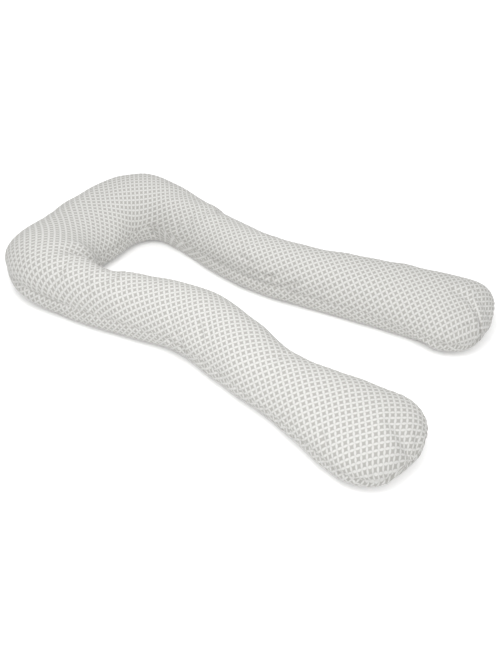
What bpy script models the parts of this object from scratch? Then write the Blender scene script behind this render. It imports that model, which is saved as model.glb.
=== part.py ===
# U-shaped body cushion, lying on its back on a floor.
# Metres, +Z up. The closed end of the U points to +Y and its two free ends point to -Y.
# The origin is on the floor, under the middle of the whole outline.

import bpy
import bmesh
import numpy as np

# Driving dimensions
RINGS_ALONG = 88           # sections swept between the two free ends
RINGS_IN_END = 7           # sections that close each free end
QUARTER_POINTS = 7         # points from the seam to the crown, and from the seam to the underside
END_LENGTH = 0.115         # how far a free end is rounded past its last section
SEAM_LEVEL = 0.42          # height of the side seam, as a share of the section's height
SEAM_DRAW = 0.004          # how far the thread draws the cloth in along the seam
FLAT_SHARE = 0.50          # half width of the flat underside, as a share of the section's half width
CROWN_POWER = 2.1          # roundness of the section above the seam, 2 is an ellipse
BELLY_POWER = 2.2          # roundness of the section below the seam
END_POWER = 2.4            # roundness of a free end seen from above
END_CROWN_POWER = 2.0      # roundness of a free end above the seam, seen from the side
END_BELLY_POWER = 3.0      # roundness of a free end below the seam, seen from the side
SMALLEST_SHARE = 0.05      # size of the last ring before an end's point

COVER_COLOUR = (0.80, 0.79, 0.76, 1.0)
COVER_ROUGHNESS = 0.9

# One row for each section, from the left free end round the closed end to the right one.
# outer and inner are the places of the seam on the outside and on the inside of the U.
SECTIONS = np.array(
    [
        ("left end", -0.425, -0.565, -0.140, -0.620, 0.140),
        ("left swell", -0.405, -0.495, -0.145, -0.540, 0.145),
        ("left flare", -0.345, -0.310, -0.155, -0.325, 0.140),
        ("left below waist", -0.320, -0.175, -0.115, -0.180, 0.155),
        ("left waist", -0.285, 0.015, -0.085, 0.010, 0.170),
        ("left above waist", -0.310, 0.195, -0.130, 0.170, 0.175),
        ("left neck", -0.340, 0.425, -0.175, 0.305, 0.180),
        ("left shoulder", -0.340, 0.540, -0.170, 0.365, 0.190),
        ("left corner", -0.270, 0.670, -0.125, 0.425, 0.190),
        ("back left", -0.165, 0.705, -0.070, 0.440, 0.175),
        ("back middle", -0.030, 0.720, -0.010, 0.435, 0.165),
        ("back right", 0.150, 0.700, 0.065, 0.435, 0.180),
        ("right corner", 0.250, 0.640, 0.110, 0.420, 0.195),
        ("right shoulder", 0.315, 0.550, 0.135, 0.385, 0.195),
        ("right neck", 0.330, 0.440, 0.135, 0.330, 0.180),
        ("right above waist", 0.290, 0.215, 0.105, 0.185, 0.165),
        ("right waist", 0.265, 0.020, 0.080, 0.010, 0.160),
        ("right below waist", 0.305, -0.205, 0.100, -0.225, 0.155),
        ("right flare", 0.345, -0.315, 0.115, -0.340, 0.150),
        ("right swell", 0.390, -0.475, 0.130, -0.495, 0.145),
        ("right end", 0.425, -0.585, 0.125, -0.595, 0.140),
    ],
    dtype=[
        ("name", "U20"),
        ("outer_x", float),
        ("outer_y", float),
        ("inner_x", float),
        ("inner_y", float),
        ("height", float),
    ],
)

# One row for each fold pressed into the cover: where it starts and ends on the cloth, how far
# from its line it has died away, and how deep it is.
FOLDS = np.array(
    [
        ("inside left corner", -0.225, 0.450, 0.185, -0.160, 0.385, 0.090, 0.026, 0.016),
        ("inside right corner", 0.145, 0.440, 0.150, 0.125, 0.400, 0.050, 0.024, 0.012),
        ("left end", -0.285, -0.655, 0.125, -0.350, -0.690, 0.060, 0.024, 0.014),
        ("right end", 0.260, -0.640, 0.130, 0.210, -0.690, 0.055, 0.022, 0.016),
        ("left waist, outside", -0.260, -0.095, 0.145, -0.285, -0.135, 0.100, 0.026, 0.006),
        ("left waist, side", -0.285, -0.030, 0.100, -0.285, -0.045, 0.060, 0.026, 0.006),
        ("right waist, inside", 0.105, 0.045, 0.130, 0.090, -0.015, 0.090, 0.026, 0.006),
    ],
    dtype=[
        ("name", "U20"),
        ("start_x", float),
        ("start_y", float),
        ("start_z", float),
        ("end_x", float),
        ("end_y", float),
        ("end_z", float),
        ("reach", float),
        ("depth", float),
    ],
)
FOLDS_FADE_BELOW = 0.04    # folds die away under this height, so the underside stays flat


def natural_spline(knots, values, at):
    """Smooth curve through the rows of values, straight at both ends."""
    gap = np.diff(knots)
    slope = np.diff(values, axis=0) / gap[:, None]
    count = len(knots)
    system = np.eye(count)
    right = np.zeros_like(values)
    for i in range(1, count - 1):
        system[i, i - 1] = gap[i - 1]
        system[i, i] = 2 * (gap[i - 1] + gap[i])
        system[i, i + 1] = gap[i]
        right[i] = 6 * (slope[i] - slope[i - 1])
    bend = np.linalg.solve(system, right)
    span = np.clip(np.searchsorted(knots, at, side="right") - 1, 0, count - 2)
    before = (at - knots[span])[:, None]
    after = (knots[span + 1] - at)[:, None]
    width = gap[span][:, None]
    return (
        (bend[span] * after**3 + bend[span + 1] * before**3) / (6 * width)
        + (values[span] / width - bend[span] * width / 6) * after
        + (values[span + 1] / width - bend[span + 1] * width / 6) * before
    )


def sections_along(count):
    """Outer seam, inner seam and height at evenly spaced places along the middle of the tube."""
    columns = ("outer_x", "outer_y", "inner_x", "inner_y", "height")
    values = np.stack([SECTIONS[column] for column in columns], axis=1)
    middle = (values[:, 0:2] + values[:, 2:4]) / 2
    steps = np.linalg.norm(np.diff(middle, axis=0), axis=1)
    knots = np.concatenate([[0.0], np.cumsum(steps)])
    return natural_spline(knots, values, np.linspace(0.0, knots[-1], count))


def section_shape():
    """A closed loop of sideways and height shares: outer seam, crown, inner seam, underside."""
    angle = np.linspace(0.0, np.pi / 2, QUARTER_POINTS, endpoint=False)
    crown_side = np.cos(angle) ** (2 / CROWN_POWER)
    crown_height = SEAM_LEVEL + (1 - SEAM_LEVEL) * np.sin(angle) ** (2 / CROWN_POWER)
    belly_side = FLAT_SHARE + (1 - FLAT_SHARE) * np.cos(angle) ** (2 / BELLY_POWER)
    belly_height = SEAM_LEVEL * (1 - np.sin(angle) ** (2 / BELLY_POWER))
    flat_side = [-FLAT_SHARE, FLAT_SHARE]
    side = np.concatenate(
        [crown_side, [0.0], -crown_side[:0:-1], -belly_side, flat_side, belly_side[:0:-1]]
    )
    height = np.concatenate(
        [crown_height, [1.0], crown_height[:0:-1], belly_height, [0.0, 0.0], belly_height[:0:-1]]
    )
    return side, height


def place_ring(middle, half, height, side_share, height_share):
    """Points of one section, with the cloth drawn in at its two seams."""
    half_width = np.linalg.norm(half)
    at_seam = np.abs(side_share) >= 1.0
    drawn = side_share - np.sign(side_share) * at_seam * SEAM_DRAW / half_width
    ring = np.empty((len(side_share), 3))
    ring[:, 0:2] = middle + half * drawn[:, None]
    ring[:, 2] = height * height_share
    return ring


def end_rings(middle, half, height, forward):
    """Sections that shrink round a free end."""
    side_share, height_share = section_shape()
    above = np.maximum(height_share - SEAM_LEVEL, 0.0)
    below = np.minimum(height_share - SEAM_LEVEL, 0.0)
    rings = []
    for step in range(1, RINGS_IN_END + 1):
        out = np.sin(np.pi / 2 * step / RINGS_IN_END)
        width = max(1 - out**END_POWER, 0.0) ** (1 / END_POWER)
        rise = max(1 - out**END_CROWN_POWER, 0.0) ** (1 / END_CROWN_POWER)
        drop = max(1 - out**END_BELLY_POWER, 0.0) ** (1 / END_BELLY_POWER)
        if step == RINGS_IN_END:
            width = rise = drop = SMALLEST_SHARE
        share = SEAM_LEVEL + above * rise + below * drop
        centre = middle + forward * END_LENGTH * out
        rings.append(place_ring(centre, half, height, side_share * width, share))
    return rings


def press_folds(points, core):
    """Push the cloth towards the core of the tube along each fold."""
    towards = core - points
    towards /= np.linalg.norm(towards, axis=-1, keepdims=True)
    fade = np.clip(points[..., 2:3] / FOLDS_FADE_BELOW, 0.0, 1.0)
    pressed = points.copy()
    for fold in FOLDS:
        start = np.array([fold["start_x"], fold["start_y"], fold["start_z"]])
        end = np.array([fold["end_x"], fold["end_y"], fold["end_z"]])
        line = end - start
        share = np.clip((points - start) @ line / (line @ line), 0.0, 1.0)
        distance = np.linalg.norm(points - start - share[..., None] * line, axis=-1)
        depth = fold["depth"] * np.exp(-((distance / fold["reach"]) ** 2))
        pressed += depth[..., None] * fade * towards
    return pressed


def cushion_points():
    """Rings of points from the left free end to the right one, and the two points that close them."""
    swept = sections_along(RINGS_ALONG)
    outer, inner, height = swept[:, 0:2], swept[:, 2:4], swept[:, 4]
    middle = (outer + inner) / 2
    half = (outer - inner) / 2
    side_share, height_share = section_shape()
    body = [
        place_ring(middle[i], half[i], height[i], side_share, height_share)
        for i in range(RINGS_ALONG)
    ]
    left_way = (middle[0] - middle[1]) / np.linalg.norm(middle[0] - middle[1])
    right_way = (middle[-1] - middle[-2]) / np.linalg.norm(middle[-1] - middle[-2])
    left = end_rings(middle[0], half[0], height[0], left_way)
    right = end_rings(middle[-1], half[-1], height[-1], right_way)
    points = np.array(left[::-1] + body + right)
    core = (points.min(axis=1, keepdims=True) + points.max(axis=1, keepdims=True)) / 2
    first = np.append(middle[0] + left_way * END_LENGTH, height[0] * SEAM_LEVEL)
    last = np.append(middle[-1] + right_way * END_LENGTH, height[-1] * SEAM_LEVEL)
    return press_folds(points, core), first, last


def make_cover_material():
    material = bpy.data.materials.new("cover")
    material.use_nodes = True
    shader = material.node_tree.nodes["Principled BSDF"]
    shader.inputs["Base Color"].default_value = COVER_COLOUR
    shader.inputs["Roughness"].default_value = COVER_ROUGHNESS
    shader.inputs["Metallic"].default_value = 0.0
    return material


def make_cushion():
    """One filled solid: crowned tube, flat underside, seams drawn in and ends closed."""
    points, first_point, last_point = cushion_points()
    shape = bmesh.new()
    loops = [[shape.verts.new(point) for point in ring] for ring in points]
    first = shape.verts.new(first_point)
    last = shape.verts.new(last_point)
    count = len(loops[0])
    for near, far in zip(loops[:-1], loops[1:]):
        for i in range(count):
            j = (i + 1) % count
            shape.faces.new((near[i], near[j], far[j], far[i]))
    for i in range(count):
        j = (i + 1) % count
        shape.faces.new((first, loops[0][j], loops[0][i]))
        shape.faces.new((last, loops[-1][i], loops[-1][j]))
    bmesh.ops.recalc_face_normals(shape, faces=shape.faces)
    mesh = bpy.data.meshes.new("cushion")
    shape.to_mesh(mesh)
    shape.free()
    mesh.shade_smooth()
    mesh.materials.append(make_cover_material())
    cushion = bpy.data.objects.new("cushion", mesh)
    bpy.context.scene.collection.objects.link(cushion)


for old in list(bpy.data.objects):
    bpy.data.objects.remove(old, do_unlink=True)

make_cushion()
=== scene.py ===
# Body cushion bent into a U, in a printed cotton cover, lying on its back on a pale floor.
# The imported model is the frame: metres, +Z up, floor at z = 0, closed end of the U at +Y.
# The cover is worked out with numpy on a grid and written into one mesh.

import math

import bpy
import numpy as np
from mathutils import Matrix


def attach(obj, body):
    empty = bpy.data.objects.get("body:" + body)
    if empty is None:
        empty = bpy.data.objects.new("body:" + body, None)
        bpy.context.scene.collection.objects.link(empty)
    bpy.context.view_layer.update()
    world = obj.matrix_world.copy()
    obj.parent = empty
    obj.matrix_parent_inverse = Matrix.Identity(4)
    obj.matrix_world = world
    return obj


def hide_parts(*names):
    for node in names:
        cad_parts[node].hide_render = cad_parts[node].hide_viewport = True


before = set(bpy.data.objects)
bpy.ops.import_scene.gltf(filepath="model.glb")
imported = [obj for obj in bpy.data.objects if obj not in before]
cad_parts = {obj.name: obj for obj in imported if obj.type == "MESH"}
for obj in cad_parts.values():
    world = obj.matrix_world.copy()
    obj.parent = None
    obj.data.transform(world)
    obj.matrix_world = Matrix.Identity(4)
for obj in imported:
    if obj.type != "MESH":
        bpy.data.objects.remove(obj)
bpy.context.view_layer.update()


# cushion shape: sections of the stuffed tube from the left free end round to the right one

cushionShape = {
    # outerX, outerY and innerX, innerY are where the seam runs, height is floor to crown
    "sections": [
        ("left end", -0.425, -0.565, -0.140, -0.620, 0.140),
        ("left swell", -0.405, -0.495, -0.145, -0.540, 0.145),
        ("left flare", -0.345, -0.310, -0.155, -0.325, 0.140),
        ("left below waist", -0.320, -0.175, -0.115, -0.180, 0.155),
        ("left waist", -0.285, 0.015, -0.085, 0.010, 0.170),
        ("left above waist", -0.310, 0.195, -0.130, 0.170, 0.175),
        ("left neck", -0.340, 0.425, -0.175, 0.305, 0.180),
        ("left shoulder", -0.340, 0.540, -0.170, 0.365, 0.190),
        ("left corner", -0.270, 0.670, -0.125, 0.425, 0.190),
        ("back left", -0.165, 0.705, -0.070, 0.440, 0.175),
        ("back middle", -0.030, 0.720, -0.010, 0.435, 0.165),
        ("back right", 0.150, 0.700, 0.065, 0.435, 0.180),
        ("right corner", 0.250, 0.640, 0.110, 0.420, 0.195),
        ("right shoulder", 0.315, 0.550, 0.135, 0.385, 0.195),
        ("right neck", 0.330, 0.440, 0.135, 0.330, 0.180),
        ("right above waist", 0.290, 0.215, 0.105, 0.185, 0.165),
        ("right waist", 0.265, 0.020, 0.080, 0.010, 0.160),
        ("right below waist", 0.305, -0.205, 0.100, -0.225, 0.155),
        ("right flare", 0.345, -0.315, 0.115, -0.340, 0.150),
        ("right swell", 0.390, -0.475, 0.130, -0.495, 0.145),
        ("right end", 0.425, -0.585, 0.125, -0.595, 0.140),
    ],
    "ringsAlong": 400,      # coarse rings between the two end sections
    "ringsInEnd": 22,       # coarse rings round each free end
    "pointsRound": 64,      # coarse points round a section
    "endLength": 0.115,     # how far a free end is rounded past its last section
    "seamLevel": 0.42,      # height of the seam as a share of the section
    "seamDrop": 0.02,       # how far down the seam slides at a tip, as a share of the way round
    "dropLength": 0.10,     # share of the rings over which it does
    "flatShare": 0.50,      # half width of the flat underside as a share of the section
    "flatBelow": 1e-5,      # points lower than this lie on the floor and stay there
    "crownPower": 2.1,      # roundness above the seam, 2 is an ellipse
    "bellyPower": 2.2,      # roundness below the seam
    "endPower": 2.4,        # roundness of a free end seen from above
    "endCrownPower": 2.0,   # the same above the seam, seen from the side
    "endBellyPower": 3.0,   # and below the seam
    "usualHalfWidth": 0.12,  # section that the points are spaced evenly on
    "usualHeight": 0.17,
}


def splineThrough(knots, rows, at):
    # natural cubic: the bend at each knot solves one linear system, then each span is a cubic
    gap = np.diff(knots)
    slope = np.diff(rows, axis=0) / gap[:, None]
    system = np.diag(np.r_[1.0, 2 * (gap[:-1] + gap[1:]), 1.0])
    inside = np.arange(1, len(knots) - 1)
    system[inside, inside - 1] = gap[:-1]
    system[inside, inside + 1] = gap[1:]
    pull = np.zeros_like(rows)
    pull[1:-1] = 6 * np.diff(slope, axis=0)
    bend = np.linalg.solve(system, pull)
    span = np.clip(np.searchsorted(knots, at, side="right") - 1, 0, len(knots) - 2)
    before = (at - knots[span])[:, None]
    after = (knots[span + 1] - at)[:, None]
    width = gap[span][:, None]
    curve = (bend[span] * after ** 3 + bend[span + 1] * before ** 3) / (6 * width)
    curve += (rows[span] / width - bend[span] * width / 6) * after
    curve += (rows[span + 1] / width - bend[span + 1] * width / 6) * before
    return curve


def slideSeam(points):
    # near the free ends the seam runs lower: upper columns are spread over a longer way round,
    # lower ones over a shorter way, each point read between its four neighbours
    shape = cushionShape
    rings, around = points.shape[:2]
    half = around // 2
    fromTip = np.minimum(np.arange(rings), np.arange(rings)[::-1]) / rings
    drop = shape["seamDrop"] * around * np.clip(1 - fromTip / shape["dropLength"], 0, 1) ** 1.5
    column = np.arange(around)
    upper = -drop[:, None] + column * (half + 2 * drop[:, None]) / half
    lower = half + drop[:, None] + (column - half) * (half - 2 * drop[:, None]) / half
    wanted = np.where(column < half, upper, lower)
    base = np.floor(wanted).astype(int)
    t = (wanted - base)[..., None]
    row = np.arange(rings)[:, None]
    p0, p1, p2, p3 = (points[row, (base + step) % around] for step in (-1, 0, 1, 2))
    return p1 + t / 2 * (p2 - p0 + t * (2 * p0 - 5 * p1 + 4 * p2 - p3 + t * (3 * (p1 - p2) + p3 - p0)))


def sectionShares(count):
    # half a superellipse over the seam, a rounder one under it that ends in a flat strip,
    # walked from the outer seam over the crown to the inner seam and back under the belly
    shape = cushionShape
    angle = np.linspace(0, math.pi / 2, 200)
    crownSide = np.cos(angle) ** (2 / shape["crownPower"])
    crownUp = shape["seamLevel"] + (1 - shape["seamLevel"]) * np.sin(angle) ** (2 / shape["crownPower"])
    bellySide = shape["flatShare"] + (1 - shape["flatShare"]) * np.cos(angle) ** (2 / shape["bellyPower"])
    bellyUp = shape["seamLevel"] * (1 - np.sin(angle) ** (2 / shape["bellyPower"]))
    halves = []
    for side, up in ((crownSide, crownUp), (np.r_[bellySide, 0], np.r_[bellyUp, 0])):
        halves.append((np.r_[side, -side[-2::-1]], np.r_[up, up[-2::-1]]))
    spots = np.arange(count // 2) / (count // 2)
    shares = []
    for (side, up), flip in zip(halves, (1, -1)):
        steps = np.hypot(np.diff(side) * shape["usualHalfWidth"], np.diff(up) * shape["usualHeight"])
        walked = np.r_[0, np.cumsum(steps)] / steps.sum()
        shares.append((flip * np.interp(spots, walked, side), np.interp(spots, walked, up)))
    return np.r_[shares[0][0], shares[1][0]], np.r_[shares[0][1], shares[1][1]]


def sweepCushion(fineness):
    # point = middle of the section + half width vector * side share, height * up share;
    # past each end section the shares shrink like a superellipse round the free end
    shape = cushionShape
    rows = np.array([row[1:] for row in shape["sections"]])
    middles = (rows[:, 0:2] + rows[:, 2:4]) / 2
    knots = np.r_[0, np.cumsum(np.linalg.norm(np.diff(middles, axis=0), axis=1))]
    ringCount = (shape["ringsAlong"] - 1) * fineness + 1
    swept = splineThrough(knots, rows, np.linspace(0, knots[-1], ringCount))
    middle = (swept[:, 0:2] + swept[:, 2:4]) / 2
    half = (swept[:, 0:2] - swept[:, 2:4]) / 2
    height = swept[:, 4]
    endCount = shape["ringsInEnd"] * fineness
    turn = np.arange(1, endCount) / endCount * math.pi / 2
    out = np.sin(turn)
    width = (1 - out ** shape["endPower"]) ** (1 / shape["endPower"])
    rise = (1 - out ** shape["endCrownPower"]) ** (1 / shape["endCrownPower"])
    drop = (1 - out ** shape["endBellyPower"]) ** (1 / shape["endBellyPower"])
    parts = {"middle": [], "half": [], "height": [], "width": [], "rise": [], "drop": []}
    poles = []
    forwards = []
    for first, second in ((0, 1), (-1, -2)):
        forward = middle[first] - middle[second]
        forwards.append(forward / np.linalg.norm(forward))
        reach = middle[first] + shape["endLength"] * forwards[-1]
        poles.append(np.r_[reach, height[first] * shape["seamLevel"]])
    ones = np.ones(ringCount)
    for name, body, ends in (
        ("middle", middle, [middle[i] + shape["endLength"] * out[:, None] * forward
                            for i, forward in zip((0, -1), forwards)]),
        ("half", half, [np.repeat(half[i][None], len(out), axis=0) for i in (0, -1)]),
        ("height", height, [np.full(len(out), height[i]) for i in (0, -1)]),
        ("width", ones, [width, width]),
        ("rise", ones, [rise, rise]),
        ("drop", ones, [drop, drop]),
    ):
        parts[name] = np.concatenate([ends[0][::-1], body, ends[1]])
    side, up = sectionShares(shape["pointsRound"] * fineness)
    over = np.maximum(up - shape["seamLevel"], 0)
    under = np.minimum(up - shape["seamLevel"], 0)
    share = shape["seamLevel"] + over * parts["rise"][:, None] + under * parts["drop"][:, None]
    points = np.empty((len(parts["height"]), len(side), 3))
    across = side * parts["width"][:, None]
    points[..., 0:2] = parts["middle"][:, None] + parts["half"][:, None] * across[..., None]
    points[..., 2] = parts["height"][:, None] * share
    return slideSeam(points), np.array(poles)


# folds pressed into the cover, and the lumps of its filling

coverFolds = {
    # each fold is a line over the cloth: x, y, z, reach to each side, depth; a minus depth is a ridge
    "lines": {
        "inside left corner": [
            (-0.246, 0.474, 0.189, 0.020, 0.001), (-0.231, 0.440, 0.187, 0.024, 0.009),
            (-0.205, 0.412, 0.170, 0.028, 0.021), (-0.175, 0.385, 0.120, 0.030, 0.030),
            (-0.160, 0.375, 0.085, 0.026, 0.024), (-0.155, 0.370, 0.045, 0.020, 0.010)],
        "inside left corner, over it": [
            (-0.190, 0.475, 0.185, 0.014, 0.000), (-0.165, 0.445, 0.165, 0.014, -0.005),
            (-0.140, 0.425, 0.120, 0.014, -0.004)],
        "inside left corner, under it": [
            (-0.262, 0.420, 0.186, 0.012, 0.000), (-0.240, 0.380, 0.180, 0.012, 0.005),
            (-0.215, 0.350, 0.165, 0.012, 0.002)],
        "inside right corner": [
            (0.145, 0.445, 0.150, 0.018, 0.001), (0.137, 0.420, 0.100, 0.016, 0.005),
            (0.130, 0.398, 0.050, 0.013, 0.014)],
        "inside right corner, left ray": [
            (0.055, 0.500, 0.170, 0.012, 0.000), (0.080, 0.465, 0.142, 0.012, 0.004),
            (0.095, 0.435, 0.100, 0.011, 0.003)],
        "inside right corner, mid ray": [
            (0.095, 0.500, 0.175, 0.011, 0.000), (0.108, 0.463, 0.155, 0.011, 0.004),
            (0.115, 0.435, 0.105, 0.010, 0.003)],
        "left end": [
            (-0.270, -0.640, 0.130, 0.030, 0.001), (-0.295, -0.668, 0.115, 0.022, 0.005),
            (-0.325, -0.690, 0.090, 0.020, 0.013), (-0.345, -0.694, 0.062, 0.016, 0.024),
            (-0.350, -0.690, 0.030, 0.014, 0.018)],
        "left end, dent beside it": [
            (-0.285, -0.698, 0.098, 0.028, 0.004), (-0.308, -0.702, 0.072, 0.032, 0.011),
            (-0.320, -0.700, 0.040, 0.028, 0.008)],
        "left end, crease": [
            (-0.236, -0.680, 0.112, 0.014, 0.000), (-0.262, -0.696, 0.092, 0.011, 0.004),
            (-0.290, -0.702, 0.070, 0.010, 0.004), (-0.305, -0.702, 0.040, 0.010, 0.002)],
        "left end, far side": [
            (-0.205, -0.690, 0.098, 0.012, 0.001), (-0.222, -0.700, 0.078, 0.010, 0.006),
            (-0.235, -0.703, 0.050, 0.010, 0.003)],
        "left end, near side": [
            (-0.372, -0.490, 0.120, 0.010, 0.000), (-0.388, -0.512, 0.107, 0.008, 0.007),
            (-0.402, -0.530, 0.093, 0.008, 0.007), (-0.412, -0.548, 0.078, 0.008, 0.002)],
        "right end": [
            (0.285, -0.618, 0.140, 0.018, 0.001), (0.264, -0.640, 0.131, 0.014, 0.007),
            (0.243, -0.662, 0.119, 0.012, 0.014), (0.223, -0.678, 0.103, 0.010, 0.018),
            (0.213, -0.688, 0.080, 0.010, 0.020), (0.216, -0.694, 0.050, 0.010, 0.018),
            (0.221, -0.692, 0.020, 0.010, 0.010)],
        "right end, upper left": [
            (0.243, -0.650, 0.123, 0.009, 0.003), (0.223, -0.632, 0.129, 0.009, 0.007),
            (0.187, -0.603, 0.124, 0.009, 0.006), (0.155, -0.575, 0.111, 0.010, 0.000)],
        "right end, middle left": [
            (0.228, -0.662, 0.110, 0.008, 0.003), (0.206, -0.645, 0.119, 0.008, 0.006),
            (0.172, -0.622, 0.113, 0.008, 0.006), (0.140, -0.592, 0.098, 0.009, 0.000)],
        "right end, lower left": [
            (0.205, -0.672, 0.100, 0.008, 0.003), (0.185, -0.662, 0.101, 0.008, 0.006),
            (0.158, -0.644, 0.094, 0.008, 0.005), (0.132, -0.614, 0.080, 0.009, 0.000)],
        "right end, between": [
            (0.225, -0.655, 0.118, 0.008, 0.000), (0.190, -0.634, 0.119, 0.008, -0.004),
            (0.158, -0.606, 0.108, 0.009, 0.000)],
        "right end, loop": [
            (0.168, -0.644, 0.104, 0.006, 0.000), (0.182, -0.653, 0.107, 0.005, 0.004),
            (0.190, -0.666, 0.102, 0.005, 0.005), (0.192, -0.677, 0.090, 0.005, 0.005),
            (0.188, -0.682, 0.078, 0.005, 0.005), (0.182, -0.684, 0.066, 0.005, 0.005),
            (0.172, -0.677, 0.059, 0.005, 0.004), (0.160, -0.668, 0.058, 0.006, 0.000)],
        "right end, inside the loop": [
            (0.172, -0.660, 0.092, 0.009, -0.003), (0.176, -0.670, 0.076, 0.009, -0.004)],
        "right end, first pleat": [
            (0.268, -0.664, 0.122, 0.008, 0.001), (0.257, -0.686, 0.098, 0.007, 0.007),
            (0.250, -0.698, 0.060, 0.007, 0.008), (0.248, -0.696, 0.025, 0.008, 0.002)],
        "right end, second pleat": [
            (0.298, -0.660, 0.118, 0.010, 0.001), (0.284, -0.688, 0.090, 0.009, 0.003),
            (0.279, -0.696, 0.050, 0.009, 0.003)],
        "left waist, first": [
            (-0.232, 0.070, 0.165, 0.012, 0.000), (-0.249, 0.045, 0.151, 0.010, 0.004),
            (-0.268, 0.022, 0.128, 0.010, 0.005), (-0.282, 0.000, 0.100, 0.010, 0.000)],
        "left waist, second": [
            (-0.240, -0.030, 0.158, 0.010, 0.001), (-0.252, -0.058, 0.150, 0.009, 0.006),
            (-0.275, -0.087, 0.131, 0.009, 0.006), (-0.290, -0.108, 0.105, 0.009, 0.000)],
        "left waist, third": [
            (-0.228, -0.062, 0.162, 0.010, 0.001), (-0.240, -0.080, 0.156, 0.009, 0.005),
            (-0.268, -0.106, 0.140, 0.009, 0.006), (-0.290, -0.132, 0.110, 0.009, 0.001)],
        "left waist, low first": [
            (-0.279, 0.052, 0.108, 0.010, 0.000), (-0.282, 0.036, 0.095, 0.010, 0.006),
            (-0.286, 0.016, 0.068, 0.010, 0.006), (-0.287, 0.000, 0.040, 0.010, 0.003)],
        "left waist, low second": [
            (-0.278, 0.008, 0.112, 0.010, 0.001), (-0.283, -0.010, 0.098, 0.010, 0.007),
            (-0.289, -0.028, 0.070, 0.011, 0.010), (-0.290, -0.038, 0.045, 0.010, 0.006)],
        "right waist, first": [
            (0.100, 0.060, 0.130, 0.010, 0.000), (0.100, 0.031, 0.126, 0.009, 0.006),
            (0.095, -0.008, 0.120, 0.009, 0.006), (0.094, -0.051, 0.117, 0.009, 0.001)],
        "right waist, second": [
            (0.082, 0.010, 0.098, 0.010, 0.001), (0.084, -0.010, 0.096, 0.009, 0.006),
            (0.087, -0.069, 0.097, 0.009, 0.008), (0.093, -0.124, 0.099, 0.009, 0.002)],
        "right waist, third": [
            (0.084, -0.050, 0.086, 0.009, 0.001), (0.088, -0.078, 0.095, 0.009, 0.005),
            (0.103, -0.120, 0.118, 0.009, 0.006), (0.134, -0.165, 0.141, 0.010, 0.001)],
        "right waist, fourth": [
            (0.085, -0.095, 0.068, 0.010, 0.002), (0.088, -0.118, 0.076, 0.009, 0.008),
            (0.098, -0.166, 0.099, 0.009, 0.007), (0.120, -0.215, 0.120, 0.010, 0.001)],
        "right waist, fifth": [
            (0.102, -0.200, 0.092, 0.009, 0.001), (0.112, -0.245, 0.103, 0.009, 0.005),
            (0.120, -0.295, 0.108, 0.010, 0.001)],
        "right leg, upper": [
            (0.185, 0.265, 0.160, 0.012, 0.000), (0.170, 0.235, 0.160, 0.011, 0.004),
            (0.148, 0.170, 0.153, 0.011, 0.003), (0.140, 0.140, 0.148, 0.012, 0.000)],
        "right leg, second upper": [
            (0.235, 0.225, 0.160, 0.012, 0.000), (0.226, 0.196, 0.161, 0.011, 0.003),
            (0.203, 0.150, 0.163, 0.011, 0.002)],
    },
    "fadeBelow": 0.03,      # folds die away near the floor
    "shoulder": 0.45,       # how much the cloth bulges beside a fold
    "seed": 7,
    "lumpWaves": 40,
    "lumpLength": (0.07, 0.20),
    "lumpHeight": 0.0011,
    "lumpFadeBelow": 0.04,
}


def sectionCore(points):
    low = points.min(axis=1, keepdims=True)
    high = points.max(axis=1, keepdims=True)
    return (low + high) / 2


def foldProfile(gap, reach, depth):
    # depth * (1 - shoulder * q) * exp(-q), q = squared distance over squared reach
    spread = (gap / reach) ** 2
    return depth * (1 - coverFolds["shoulder"] * spread) * np.exp(-spread)


def pressFolds(points):
    # for each line the nearest of its pieces gives the distance, reach and depth
    folds = coverFolds
    push = np.zeros(points.shape[:-1])
    for table in folds["lines"].values():
        line = np.array(table)
        nearest = np.full(push.shape, 1e9)
        best = np.zeros(push.shape)
        for start, end in zip(line[:-1], line[1:]):
            way = end[:3] - start[:3]
            share = np.clip((points - start[:3]) @ way / (way @ way), 0, 1)
            gap = np.linalg.norm(points - start[:3] - share[..., None] * way, axis=-1)
            reach = start[3] + share * (end[3] - start[3])
            depth = start[4] + share * (end[4] - start[4])
            best = np.where(gap < nearest, foldProfile(gap, reach, depth), best)
            nearest = np.minimum(gap, nearest)
        push += best
    towards = sectionCore(points) - points
    towards /= np.linalg.norm(towards, axis=-1, keepdims=True)
    return points + (push * np.clip(points[..., 2] / folds["fadeBelow"], 0, 1))[..., None] * towards


def softWaves(points, count, lengths, random):
    # sum of sine waves with random directions and lengths, about 1 high
    way = random.normal(size=(count, 3))
    way /= np.linalg.norm(way, axis=1, keepdims=True)
    length = random.uniform(lengths[0], lengths[1], count)
    phase = random.uniform(0, 2 * math.pi, count)
    total = np.zeros(points.shape[:-1])
    for i in range(count):
        total += np.sin(points @ (way[i] * 2 * math.pi / length[i]) + phase[i])
    return total / math.sqrt(count / 2)


def outwards(points):
    # cross product of the steps along and round the tube
    along = np.gradient(points, axis=0)
    around = (np.roll(points, -1, axis=1) - np.roll(points, 1, axis=1)) / 2
    normal = np.cross(around, along)
    normal /= np.maximum(np.linalg.norm(normal, axis=-1, keepdims=True), 1e-9)
    core = sectionCore(points)
    if ((points - core) * normal).sum() < 0:
        normal = -normal
    return normal


# cloth: the cover is blown up a little while its seam gathers, and only the wrinkles are kept

clothRun = {
    "frames": 20,
    "pressure": 4.0,
    "quality": 6,
    "mass": 0.25,
    "stretch": 12.0,
    "bending": 0.3,
    "seamShrink": 0.02,     # how much the thread gathers the seam
    "gatherReach": 2,       # rings of points beside the seam that gather too
    "heldBelow": 0.001,     # points lower than this stay on the floor
    "mostMove": 0.006,
    "smoothing": 60,        # passes that take the swelling out and leave the wrinkles
}


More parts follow.
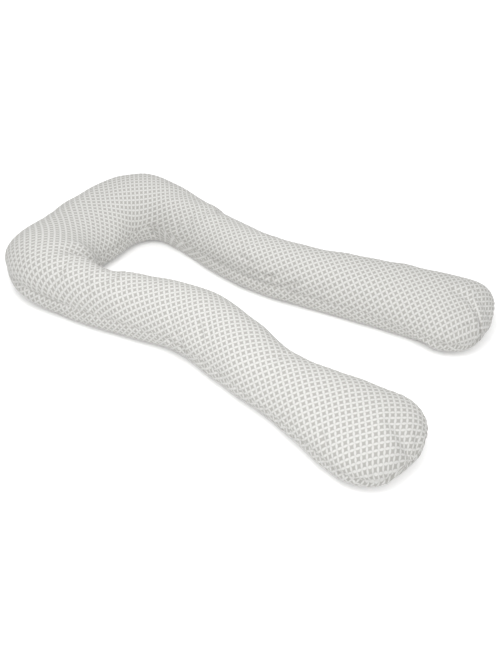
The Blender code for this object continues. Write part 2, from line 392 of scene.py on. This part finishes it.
def gridFaces(rings, around):
    # quads between rings, then triangles to the two poles
    r, a = np.meshgrid(np.arange(rings - 1), np.arange(around), indexing="ij")
    b = (a + 1) % around
    quads = np.stack([r * around + a, r * around + b, (r + 1) * around + b, (r + 1) * around + a], axis=-1)
    a = np.arange(around)
    b = (a + 1) % around
    left = np.stack([np.full(around, rings * around), b, a], axis=-1)
    lastRing = (rings - 1) * around
    right = np.stack([np.full(around, rings * around + 1), lastRing + a, lastRing + b], axis=-1)
    return quads.reshape(-1, 4), left, right


def meshFromGrid(name, points, poles):
    rings, around = points.shape[:2]
    quads, left, right = gridFaces(rings, around)
    mesh = bpy.data.meshes.new(name)
    corners = np.concatenate([points.reshape(-1, 3), poles])
    mesh.from_pydata(corners, [], quads.tolist() + left.tolist() + right.tolist())
    mesh.polygons.foreach_set("use_smooth", np.ones(len(mesh.polygons), bool))
    mesh.update()
    piece = bpy.data.objects.new(name, mesh)
    bpy.context.scene.collection.objects.link(piece)
    return piece


def readGrid(mesh, rings, around):
    flat = np.empty(len(mesh.vertices) * 3)
    mesh.vertices.foreach_get("co", flat)
    corners = flat.reshape(-1, 3)
    return corners[: rings * around].reshape(rings, around, 3)


def smoothGrid(values, passes):
    # each value becomes half itself and half its four neighbours' mean
    for step in range(passes):
        padded = np.concatenate([values[:1], values, values[-1:]])
        near = padded[:-2] + padded[2:] + np.roll(values, 1, axis=1) + np.roll(values, -1, axis=1)
        values = values / 2 + near / 8
    return values


def simulateCover(points, poles):
    run = clothRun
    rings, around = points.shape[:2]
    piece = meshFromGrid("coverRun", points, poles)
    seam = piece.vertex_groups.new(name="gather")
    ringIds = np.arange(rings)[:, None] * around
    for step in range(run["gatherReach"] + 1):
        for seamPoint in (0, around // 2):
            for sign in (-1, 1):
                ids = (ringIds + (seamPoint + sign * step) % around).ravel()
                seam.add(ids.tolist(), 1 - step / (run["gatherReach"] + 1), "REPLACE")
    held = piece.vertex_groups.new(name="held")
    low = np.flatnonzero(points[..., 2].ravel() < run["heldBelow"])
    held.add(low.tolist() + [rings * around, rings * around + 1], 1.0, "REPLACE")
    cloth = piece.modifiers.new("cloth", "CLOTH")
    settings = cloth.settings
    settings.quality = run["quality"]
    settings.mass = run["mass"]
    settings.tension_stiffness = settings.compression_stiffness = run["stretch"]
    settings.shear_stiffness = run["stretch"] / 3
    settings.bending_stiffness = run["bending"]
    settings.use_pressure = True
    settings.uniform_pressure_force = run["pressure"]
    settings.effector_weights.gravity = 0
    settings.vertex_group_mass = "held"
    settings.vertex_group_shrink = "gather"
    settings.shrink_min = 0.0
    settings.shrink_max = run["seamShrink"]
    cloth.collision_settings.use_collision = False
    cloth.point_cache.frame_end = run["frames"]
    scene = bpy.context.scene
    for number in range(1, run["frames"] + 1):
        scene.frame_set(number)
    shaped = piece.evaluated_get(bpy.context.evaluated_depsgraph_get()).to_mesh()
    moved = readGrid(shaped, rings, around)
    scene.frame_set(1)
    bpy.data.objects.remove(piece, do_unlink=True)
    move = moved - points
    move -= smoothGrid(move, run["smoothing"])
    size = np.maximum(np.linalg.norm(move, axis=-1, keepdims=True), 1e-9)
    return move / size * run["mostMove"] * np.tanh(size / run["mostMove"])


def finerGrid(values):
    # a point between each two, from the two beside it and the two past those
    def between(grid):
        return (9 * (grid[1:-2] + grid[2:-1]) - grid[:-3] - grid[3:]) / 16
    ends = np.concatenate([values[:1], values, values[-1:]])
    along = np.empty((2 * len(values) - 1,) + values.shape[1:])
    along[::2] = values
    along[1::2] = between(ends)
    wrapped = np.moveaxis(np.concatenate([along[:, -1:], along, along[:, :2]], axis=1), 1, 0)
    around = np.empty((along.shape[0], 2 * along.shape[1], 3))
    around[:, ::2] = along
    around[:, 1::2] = np.moveaxis(between(wrapped), 0, 1)
    return np.concatenate([around[:1] / 2, around, around[-1:] / 2])


# seam: a line drawn in along each edge of the U, with small puckers on both sides

seamLook = {
    "drawIn": 0.0035,
    "drawReach": 0.007,
    "puckerHeight": 0.0009,
    "puckerReach": 0.016,
    "puckerLength": (0.011, 0.028),
    "puckerWaves": 14,
    "puckerPeak": 2.7,      # brings the top of share * exp(-share) to about 1
    "fadeBelow": 0.03,
    "fullRound": 0.45,      # rings shorter than this, near the tips, are puckered less
    "seed": 21,
}


def sewSeam(points):
    # depth under the cloth = groove exp(-(gap/reach)^2) + pucker(along) * gap/reach * exp(-gap/reach)
    look = seamLook
    random = np.random.default_rng(look["seed"])
    rings, around = points.shape[:2]
    steps = np.linalg.norm(np.roll(points, -1, axis=1) - points, axis=-1)
    walked = np.cumsum(steps, axis=1) - steps
    half = around // 2
    length = steps.sum(axis=1, keepdims=True)
    atInner = walked[:, half:half + 1]
    toOuter = np.minimum(walked, length - walked)
    toInner = np.abs(walked - atInner)
    normal = outwards(points)
    fade = np.clip(points[..., 2] / look["fadeBelow"], 0, 1) * np.clip(length / look["fullRound"], 0, 1)
    sewn = points.copy()
    for gap, seamPoint in ((toOuter, 0), (toInner, half)):
        line = points[:, seamPoint]
        along = np.r_[0, np.cumsum(np.linalg.norm(np.diff(line, axis=0), axis=1))]
        ripple = np.zeros(rings)
        for wave in range(look["puckerWaves"]):
            waveLength = random.uniform(*look["puckerLength"])
            ripple += np.sin(along / waveLength * 2 * math.pi + random.uniform(0, 2 * math.pi))
        ripple /= math.sqrt(look["puckerWaves"] / 2)
        share = gap / look["puckerReach"]
        pucker = look["puckerHeight"] * ripple[:, None] * look["puckerPeak"] * share * np.exp(-share)
        groove = look["drawIn"] * np.exp(-(gap / look["drawReach"]) ** 2)
        sewn += ((pucker - groove) * fade)[..., None] * normal
    return sewn


# print: where each point of the cloth lay on the flat cut panel, in metres

printLay = {
    # y of the section on the left or right leg, how far the print is turned there in degrees,
    # how much cloth lies under a metre of section, outside and inside the crown, and under a
    # metre of the middle line
    "left": [
        (-0.70, -9.0, 0.90, 0.82, 1.28),
        (-0.58, -7.0, 0.92, 0.85, 1.15),
        (-0.45, -2.0, 0.95, 0.90, 1.06),
        (-0.30, -1.0, 0.97, 0.95, 1.05),
        (-0.10, -3.0, 0.98, 0.98, 1.05),
        (0.20, -3.0, 0.95, 0.98, 1.05),
        (0.40, -1.0, 0.92, 0.95, 1.05),
        (0.60, 0.0, 0.74, 0.84, 1.05),
    ],
    "right": [
        (-0.70, 4.0, 0.76, 0.92, 1.28),
        (-0.55, 7.0, 0.74, 0.91, 1.12),
        (-0.35, 9.0, 0.72, 0.90, 1.05),
        (-0.20, 4.0, 0.80, 0.95, 1.05),
        (0.00, 0.0, 0.98, 1.02, 1.05),
        (0.20, 1.0, 1.10, 1.08, 1.05),
        (0.33, 0.0, 1.10, 1.08, 1.05),
        (0.45, -9.0, 0.95, 1.00, 1.05),
        (0.60, -6.0, 0.74, 0.84, 1.05),
    ],
    "closedFrom": 0.5,      # y past which the two legs' rows are mixed
    "mixReach": 0.2,        # how far to each side of the middle the mixing goes
    "slackRound": 40,       # rings to each side that a change is spread over
}


def layOfPrint(middle):
    # the leg's table read at the ring's y, the two legs mixed over the closed end
    share = np.clip(middle[:, 0] / (2 * printLay["mixReach"]) + 0.5, 0, 1)[:, None]
    read = []
    for leg in ("left", "right"):
        table = np.array(printLay[leg])
        columns = [np.interp(middle[:, 1], table[:, 0], column) for column in table[:, 1:].T]
        read.append(np.stack(columns, axis=1))
    closed = middle[:, 1:2] > printLay["closedFrom"]
    leftOnes = middle[:, 0:1] < 0
    mixed = np.where(closed, read[0] * (1 - share) + read[1] * share, np.where(leftOnes, read[0], read[1]))
    width = printLay["slackRound"]
    before, after = (np.repeat(end, width, axis=0) for end in (mixed[:1], mixed[-1:]))
    padded = np.concatenate([before, mixed, after])
    total = np.cumsum(np.concatenate([np.zeros((1, 4)), padded]), axis=0)
    return (total[2 * width:] - total[:-2 * width])[:len(mixed)] / (2 * width)


def flatPattern(points):
    # middle line of the panel walked in plan plus the way across the cloth from that line,
    # both turned back by the print's turn; round a free end the line goes down over the end
    rings, around = points.shape[:2]
    half = around // 2
    lay = layOfPrint(sectionCore(points)[:, 0])
    turn = -np.radians(lay[:, 0])
    turned = np.stack([np.cos(turn), -np.sin(turn), np.sin(turn), np.cos(turn)], axis=1).reshape(-1, 2, 2)
    panels = []
    for middlePoint, first, last in ((around // 4, 0, half), (around * 3 // 4, half, around)):
        ids = np.arange(first, last + 1) % around
        cloth = points[:, ids]
        spine = points[:, middlePoint]
        steps = np.linalg.norm(np.diff(cloth, axis=1), axis=-1)
        walked = np.concatenate([np.zeros((rings, 1)), np.cumsum(steps, axis=1)], axis=1)
        walked = walked - walked[:, middlePoint - first:middlePoint - first + 1]
        firstSide, lastSide = (lay[:, 1:2], lay[:, 2:3]) if first == 0 else (lay[:, 2:3], lay[:, 1:2])
        walked = np.where(walked < 0, walked * firstSide, walked * lastSide)
        side = cloth[:, -1, 0:2] - cloth[:, 0, 0:2]
        side = side / np.linalg.norm(side, axis=1, keepdims=True)
        side = np.einsum("rij,rj->ri", turned, side)
        stride = np.diff(spine, axis=0)
        flatStride = stride[:, 0:2] / np.maximum(np.linalg.norm(stride[:, 0:2], axis=1, keepdims=True), 1e-9)
        flatStride = flatStride * np.linalg.norm(stride, axis=1, keepdims=True) * lay[1:, 3:4]
        flatStride = np.einsum("rij,rj->ri", turned[1:], flatStride)
        start = rings // 2
        trail = np.concatenate([np.zeros((1, 2)), np.cumsum(flatStride, axis=0)])
        trail += spine[start, 0:2] - trail[start]
        panels.append(trail[:, None] + walked[..., None] * side[:, None])
    return panels


def printLayer(mesh, panels, rings, around):
    # each face takes its corners from the panel it belongs to, so the print breaks at the seam
    half = around // 2
    a = np.arange(around)
    panelOf = a // half
    column = a % half
    r, a = np.meshgrid(np.arange(rings - 1), np.arange(around), indexing="ij")
    grid = np.stack(panels)
    corner = []
    for down, right in ((0, 0), (0, 1), (1, 1), (1, 0)):
        corner.append(grid[panelOf[a], r + down, column[a] + right])
    quadFlat = np.stack(corner, axis=2).reshape(-1, 2)
    a = np.arange(around)
    ends = []
    for ring, order in ((0, (1, 0)), (rings - 1, (0, 1))):
        tip = grid[panelOf[a], ring, half // 2]
        first = grid[panelOf[a], ring, column[a] + order[0]]
        second = grid[panelOf[a], ring, column[a] + order[1]]
        ends.append(np.stack([tip, first, second], axis=1).reshape(-1, 2))
    layer = mesh.uv_layers.new(name="flatCloth")
    layer.data.foreach_set("uv", np.concatenate([quadFlat] + ends).ravel())


# cotton: white petals on grey, woven, printed

cotton = {
    "repeat": 0.0153,       # from one crossing of the petals to the next
    "turn": 45.0,           # the rows of petals run aslant to the U
    "petalRound": 0.7071,   # radius of the circles over the repeat
    "petalEdge": 0.03,      # softness of the printed edge
    "white": (0.605, 0.602, 0.586, 1.0),
    "grey": (0.392, 0.386, 0.364, 1.0),
    "roughness": 0.88,
    "sheen": 0.06,
    "sheenRoughness": 0.5,
    "specular": 0.25,
    "threadLength": 0.0009,
    "weaveDepth": 0.00012,
    "weaveStrength": 0.6,
    "crinkleLength": 0.02,
    "crinkleDepth": 0.0006,
    "crinkleDetail": 3,
    "crinkleStrength": 0.8,
}


def mathNode(tree, operation, first, second=None, third=None):
    node = tree.nodes.new("ShaderNodeMath")
    node.operation = operation
    for socket, value in zip(node.inputs, (first, second, third)):
        if value is None:
            continue
        if isinstance(value, (int, float)):
            socket.default_value = value
        else:
            tree.links.new(value, socket)
    return node.outputs[0]


def makeCotton():
    # a point is white inside the circle round the next cell: (1 - far)^2 + near^2 < radius^2,
    # far and near being its larger and smaller distance from its own cell's middle
    look = cotton
    material = bpy.data.materials.new("printedCotton")
    material.use_nodes = True
    tree = material.node_tree
    shader = tree.nodes["Principled BSDF"]
    flat = tree.nodes.new("ShaderNodeUVMap")
    flat.uv_map = "flatCloth"
    lay = tree.nodes.new("ShaderNodeMapping")
    lay.inputs["Rotation"].default_value = (0, 0, math.radians(look["turn"]))
    lay.inputs["Scale"].default_value = (1 / look["repeat"],) * 3
    tree.links.new(flat.outputs["UV"], lay.inputs["Vector"])
    parts = tree.nodes.new("ShaderNodeSeparateXYZ")
    tree.links.new(lay.outputs["Vector"], parts.inputs[0])
    offsets = []
    for axis in ("X", "Y"):
        cell = mathNode(tree, "FRACT", parts.outputs[axis])
        offsets.append(mathNode(tree, "ABSOLUTE", mathNode(tree, "SUBTRACT", cell, 0.5)))
    far = mathNode(tree, "MAXIMUM", offsets[0], offsets[1])
    near = mathNode(tree, "MINIMUM", offsets[0], offsets[1])
    over = mathNode(tree, "SUBTRACT", 1.0, far)
    gap = mathNode(tree, "SQRT", mathNode(tree, "ADD", mathNode(tree, "MULTIPLY", over, over),
                                          mathNode(tree, "MULTIPLY", near, near)))
    ink = tree.nodes.new("ShaderNodeMapRange")
    ink.interpolation_type = "SMOOTHSTEP"
    ink.inputs["From Min"].default_value = look["petalRound"] - look["petalEdge"]
    ink.inputs["From Max"].default_value = look["petalRound"] + look["petalEdge"]
    tree.links.new(gap, ink.inputs["Value"])
    colour = tree.nodes.new("ShaderNodeMix")
    colour.data_type = "RGBA"
    colour.inputs["A"].default_value = look["white"]
    colour.inputs["B"].default_value = look["grey"]
    tree.links.new(ink.outputs["Result"], colour.inputs["Factor"])
    tree.links.new(colour.outputs["Result"], shader.inputs["Base Color"])

    weave = tree.nodes.new("ShaderNodeMapping")
    weave.inputs["Scale"].default_value = (1 / look["threadLength"],) * 3
    tree.links.new(flat.outputs["UV"], weave.inputs["Vector"])
    threads = tree.nodes.new("ShaderNodeSeparateXYZ")
    tree.links.new(weave.outputs["Vector"], threads.inputs[0])
    waves = [mathNode(tree, "SINE", mathNode(tree, "MULTIPLY", threads.outputs[axis], 2 * math.pi))
             for axis in ("X", "Y")]
    cross = mathNode(tree, "MULTIPLY", waves[0], waves[1])
    weaveBump = tree.nodes.new("ShaderNodeBump")
    weaveBump.inputs["Distance"].default_value = look["weaveDepth"]
    weaveBump.inputs["Strength"].default_value = look["weaveStrength"]
    tree.links.new(cross, weaveBump.inputs["Height"])
    place = tree.nodes.new("ShaderNodeTexCoord")
    crinkle = tree.nodes.new("ShaderNodeTexNoise")
    crinkle.inputs["Scale"].default_value = 1 / look["crinkleLength"]
    crinkle.inputs["Detail"].default_value = look["crinkleDetail"]
    tree.links.new(place.outputs["Object"], crinkle.inputs["Vector"])
    crinkleBump = tree.nodes.new("ShaderNodeBump")
    crinkleBump.inputs["Distance"].default_value = look["crinkleDepth"]
    crinkleBump.inputs["Strength"].default_value = look["crinkleStrength"]
    tree.links.new(crinkle.outputs["Fac"], crinkleBump.inputs["Height"])
    tree.links.new(weaveBump.outputs["Normal"], crinkleBump.inputs["Normal"])
    tree.links.new(crinkleBump.outputs["Normal"], shader.inputs["Normal"])
    shader.inputs["Roughness"].default_value = look["roughness"]
    shader.inputs["Specular IOR Level"].default_value = look["specular"]
    shader.inputs["Sheen Weight"].default_value = look["sheen"]
    shader.inputs["Sheen Roughness"].default_value = look["sheenRoughness"]
    return material


def makeCushion():
    points, poles = sweepCushion(1)
    points = pressFolds(points)
    move = simulateCover(points, poles)
    print("cover simulated, largest move", round(float(np.abs(move).max()), 4))
    fine, poles = sweepCushion(2)
    rings, around = fine.shape[:2]
    flatUnder = fine[..., 2] < cushionShape["flatBelow"]
    panels = flatPattern(fine)
    fine = pressFolds(fine)
    fine += finerGrid(move)
    random = np.random.default_rng(coverFolds["seed"])
    lumps = softWaves(fine, coverFolds["lumpWaves"], coverFolds["lumpLength"], random)
    lumps *= coverFolds["lumpHeight"] * np.clip(fine[..., 2] / coverFolds["lumpFadeBelow"], 0, 1)
    fine += lumps[..., None] * outwards(fine)
    fine = sewSeam(fine)
    fine[..., 2] = np.where(flatUnder, 0, np.maximum(fine[..., 2], 0))
    piece = meshFromGrid("printedCover", fine, poles)
    printLayer(piece.data, panels, rings, around)
    piece.data.materials.append(makeCotton())
    print("cover made,", len(piece.data.polygons), "faces")
    return piece


cover = makeCushion()
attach(cover, "root")
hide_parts("cushion")


# floor, light and camera

studio = {
    "floorSize": 14.0,
    "floorDrop": 0.0005,
    "floorColour": (0.95, 0.95, 0.95, 1.0),
    "floorRoughness": 0.9,
    "floorSpecular": 0.1,
    "glowNear": 0.12,       # the photo's floor is lit to plain white away from the cushion
    "glowFar": 0.28,
    "glowFrom": 0.85,       # metres from the middle where the glow starts to grow
    "glowFull": 1.8,
    "worldColour": (1.0, 1.0, 1.0, 1.0),
    "worldLow": 0.31,
    "worldHigh": 1.20,
    "lamps": {              # place, size, power; each faces the middle
        "softLamp": ((-0.75, -0.15, 1.7), 1.0, 14.0),
        "fillLamp": ((-1.5, -1.4, 1.7), 1.8, 12.0),
    },
    "turn": -57.61,         # camera, degrees round from the -Y side
    "lift": 38.41,
    "roll": 0.474,
    "distance": 2.160,
    "target": (-0.0155, -0.051, 0.0776),
    "focus": 39.16,
    "shiftX": 0.0110,
    "shiftY": -0.0569,
}


def makeFloor():
    half = studio["floorSize"] / 2
    low = -studio["floorDrop"]
    mesh = bpy.data.meshes.new("paleFloor")
    mesh.from_pydata([(-half, -half, low), (half, -half, low), (half, half, low), (-half, half, low)], [],
                     [(0, 1, 2, 3)])
    material = bpy.data.materials.new("paleFloor")
    material.use_nodes = True
    shader = material.node_tree.nodes["Principled BSDF"]
    shader.inputs["Base Color"].default_value = studio["floorColour"]
    shader.inputs["Roughness"].default_value = studio["floorRoughness"]
    shader.inputs["Specular IOR Level"].default_value = studio["floorSpecular"]
    shader.inputs["Emission Color"].default_value = (1.0, 1.0, 1.0, 1.0)
    tree = material.node_tree
    place = tree.nodes.new("ShaderNodeTexCoord")
    away = tree.nodes.new("ShaderNodeVectorMath")
    away.operation = "LENGTH"
    tree.links.new(place.outputs["Object"], away.inputs[0])
    glow = tree.nodes.new("ShaderNodeMapRange")
    glow.inputs["From Min"].default_value = studio["glowFrom"]
    glow.inputs["From Max"].default_value = studio["glowFull"]
    glow.inputs["To Min"].default_value = studio["glowNear"]
    glow.inputs["To Max"].default_value = studio["glowFar"]
    tree.links.new(away.outputs["Value"], glow.inputs["Value"])
    tree.links.new(glow.outputs["Result"], shader.inputs["Emission Strength"])
    mesh.materials.append(material)
    floor = bpy.data.objects.new("paleFloor", mesh)
    bpy.context.scene.collection.objects.link(floor)


def standing(right, up, back, place):
    # the object's own X, Y and Z ways and its place as one matrix
    return Matrix([[right[i], up[i], back[i], place[i]] for i in range(3)] + [[0, 0, 0, 1]])


def makeLight():
    world = bpy.data.worlds.new("softWorld")
    world.use_nodes = True
    tree = world.node_tree
    sky = tree.nodes["Background"]
    sky.inputs["Color"].default_value = studio["worldColour"]
    way = tree.nodes.new("ShaderNodeTexCoord")    # light comes from above more than from the sides
    split = tree.nodes.new("ShaderNodeSeparateXYZ")
    tree.links.new(way.outputs["Generated"], split.inputs[0])
    rise = tree.nodes.new("ShaderNodeMapRange")
    rise.inputs["To Min"].default_value = studio["worldLow"]
    rise.inputs["To Max"].default_value = studio["worldHigh"]
    tree.links.new(split.outputs["Z"], rise.inputs["Value"])
    tree.links.new(rise.outputs["Result"], sky.inputs["Strength"])
    bpy.context.scene.world = world
    for name, (place, size, power) in studio["lamps"].items():
        lamp = bpy.data.lights.new(name, "AREA")
        lamp.shape = "DISK"
        lamp.size = size
        lamp.energy = power
        holder = bpy.data.objects.new(name, lamp)
        back = np.array(place) / np.linalg.norm(place)
        right = np.cross((0, 1, 0), back)
        right /= np.linalg.norm(right)
        up = np.cross(back, right)
        holder.matrix_world = standing(right, up, back, place)
        bpy.context.scene.collection.objects.link(holder)
    bpy.context.scene.view_settings.view_transform = "Standard"


def makeCamera():
    turn, lift, roll = (math.radians(studio[name]) for name in ("turn", "lift", "roll"))
    back = np.array([math.sin(turn) * math.cos(lift), -math.cos(turn) * math.cos(lift), math.sin(lift)])
    level = np.array([math.cos(turn), math.sin(turn), 0])
    rise = np.cross(back, level)
    right = math.cos(roll) * level + math.sin(roll) * rise
    up = math.cos(roll) * rise - math.sin(roll) * level
    place = np.array(studio["target"]) + back * studio["distance"]
    lens = bpy.data.cameras.new("photoCamera")
    lens.lens = studio["focus"]
    lens.shift_x = studio["shiftX"]
    lens.shift_y = studio["shiftY"]
    camera = bpy.data.objects.new("photoCamera", lens)
    camera.matrix_world = standing(right, up, back, place)
    bpy.context.scene.collection.objects.link(camera)
    bpy.context.scene.camera = camera


makeFloor()
makeLight()
makeCamera()
print("floor, light and camera set")
